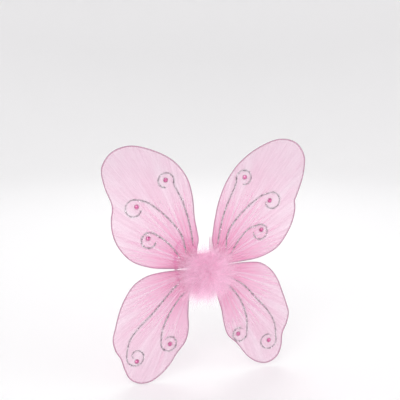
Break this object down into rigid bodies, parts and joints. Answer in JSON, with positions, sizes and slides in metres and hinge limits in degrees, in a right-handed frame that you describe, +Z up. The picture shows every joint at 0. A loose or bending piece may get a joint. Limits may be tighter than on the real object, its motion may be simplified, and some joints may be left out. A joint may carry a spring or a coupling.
{
  "type": "fairy wings",
  "caption": "Child's fairy wings: sheer nylon lobes on bent wire loops with glitter swirls and stones, a fluffy centre, a felt back pad and elastic arm straps.",
  "frame": {"origin": "middle of the back pad's flat rear face, which lies against the wearer's back", "axes": "+Z up, +Y out of the rear face towards the wearer, the decorated face looks along -Y, +X to the right of someone looking at the decorated face"},
  "size_m": [0.3742, 0.0913, 0.4214],
  "materials": {
    "wire": "thin spring wire, seen through the nylon",
    "nylon": "sheer knitted nylon, two layers, soft sheen",
    "thread": "wound thread",
    "glitter": "silver glitter in dried glue",
    "rhinestone": "faceted acrylic stone with a foiled back",
    "marabou": "soft downy feather",
    "ribbon": "wrapped satin ribbon",
    "felt": "needled felt, sewn round its edge",
    "elastic": "woven flat elastic"
  },
  "bodies": {
    "hub": {"back_pad": "felt", "centre_binding": "ribbon", "marabou_puff": "marabou", "wire_stem_upper_left": "wire", "wire_stem_upper_right": "wire", "wire_stem_lower_left": "wire", "wire_stem_lower_right": "wire"},
    "lobe_upper_left": {"wire_loop_upper_left": "wire", "nylon_upper_left": "nylon", "neck_tie_upper_left": "thread", "swirl_upper_left_outer": "glitter", "gem_upper_left_outer": "rhinestone", "swirl_upper_left_middle": "glitter", "gem_upper_left_middle": "rhinestone", "swirl_upper_left_inner": "glitter", "gem_upper_left_inner": "rhinestone"},
    "lobe_upper_right": {"wire_loop_upper_right": "wire", "nylon_upper_right": "nylon", "neck_tie_upper_right": "thread", "swirl_upper_right_outer": "glitter", "gem_upper_right_outer": "rhinestone", "swirl_upper_right_middle": "glitter", "gem_upper_right_middle": "rhinestone", "swirl_upper_right_inner": "glitter", "gem_upper_right_inner": "rhinestone"},
    "lobe_lower_left": {"wire_loop_lower_left": "wire", "nylon_lower_left": "nylon", "neck_tie_lower_left": "thread", "swirl_lower_left_outer": "glitter", "gem_lower_left_outer": "rhinestone", "swirl_lower_left_inner": "glitter", "gem_lower_left_inner": "rhinestone"},
    "lobe_lower_right": {"wire_loop_lower_right": "wire", "nylon_lower_right": "nylon", "neck_tie_lower_right": "thread", "swirl_lower_right_outer": "glitter", "gem_lower_right_outer": "rhinestone", "swirl_lower_right_inner": "glitter", "gem_lower_right_inner": "rhinestone"},
    "strap_left": {"arm_strap_left": "elastic"},
    "strap_right": {"arm_strap_right": "elastic"}
  },
  "joints": [
    {"name": "flap_upper_left", "type": "hinge", "parent": "hub", "child": "lobe_upper_left", "pos_m": [-0.011, -0.009, 0.006], "axis": [0, 0, 1], "range_deg": [-18, 70], "stiffness_Nm_per_rad": 0.6},
    {"name": "flap_upper_right", "type": "hinge", "parent": "hub", "child": "lobe_upper_right", "pos_m": [0.011, -0.009, 0.006], "axis": [0, 0, -1], "range_deg": [-18, 70], "stiffness_Nm_per_rad": 0.6},
    {"name": "flap_lower_left", "type": "hinge", "parent": "hub", "child": "lobe_lower_left", "pos_m": [-0.011, -0.009, -0.006], "axis": [0, 0, 1], "range_deg": [-18, 70], "stiffness_Nm_per_rad": 0.6},
    {"name": "flap_lower_right", "type": "hinge", "parent": "hub", "child": "lobe_lower_right", "pos_m": [0.011, -0.009, -0.006], "axis": [0, 0, -1], "range_deg": [-18, 70], "stiffness_Nm_per_rad": 0.6},
    {"name": "swing_strap_left", "type": "hinge", "parent": "hub", "child": "strap_left", "pos_m": [-0.015, -0.0016, 0], "axis": [0, 0, 1], "range_deg": [-28, 50]},
    {"name": "swing_strap_right", "type": "hinge", "parent": "hub", "child": "strap_right", "pos_m": [0.015, -0.0016, 0], "axis": [0, 0, -1], "range_deg": [-28, 50]}
  ]
}
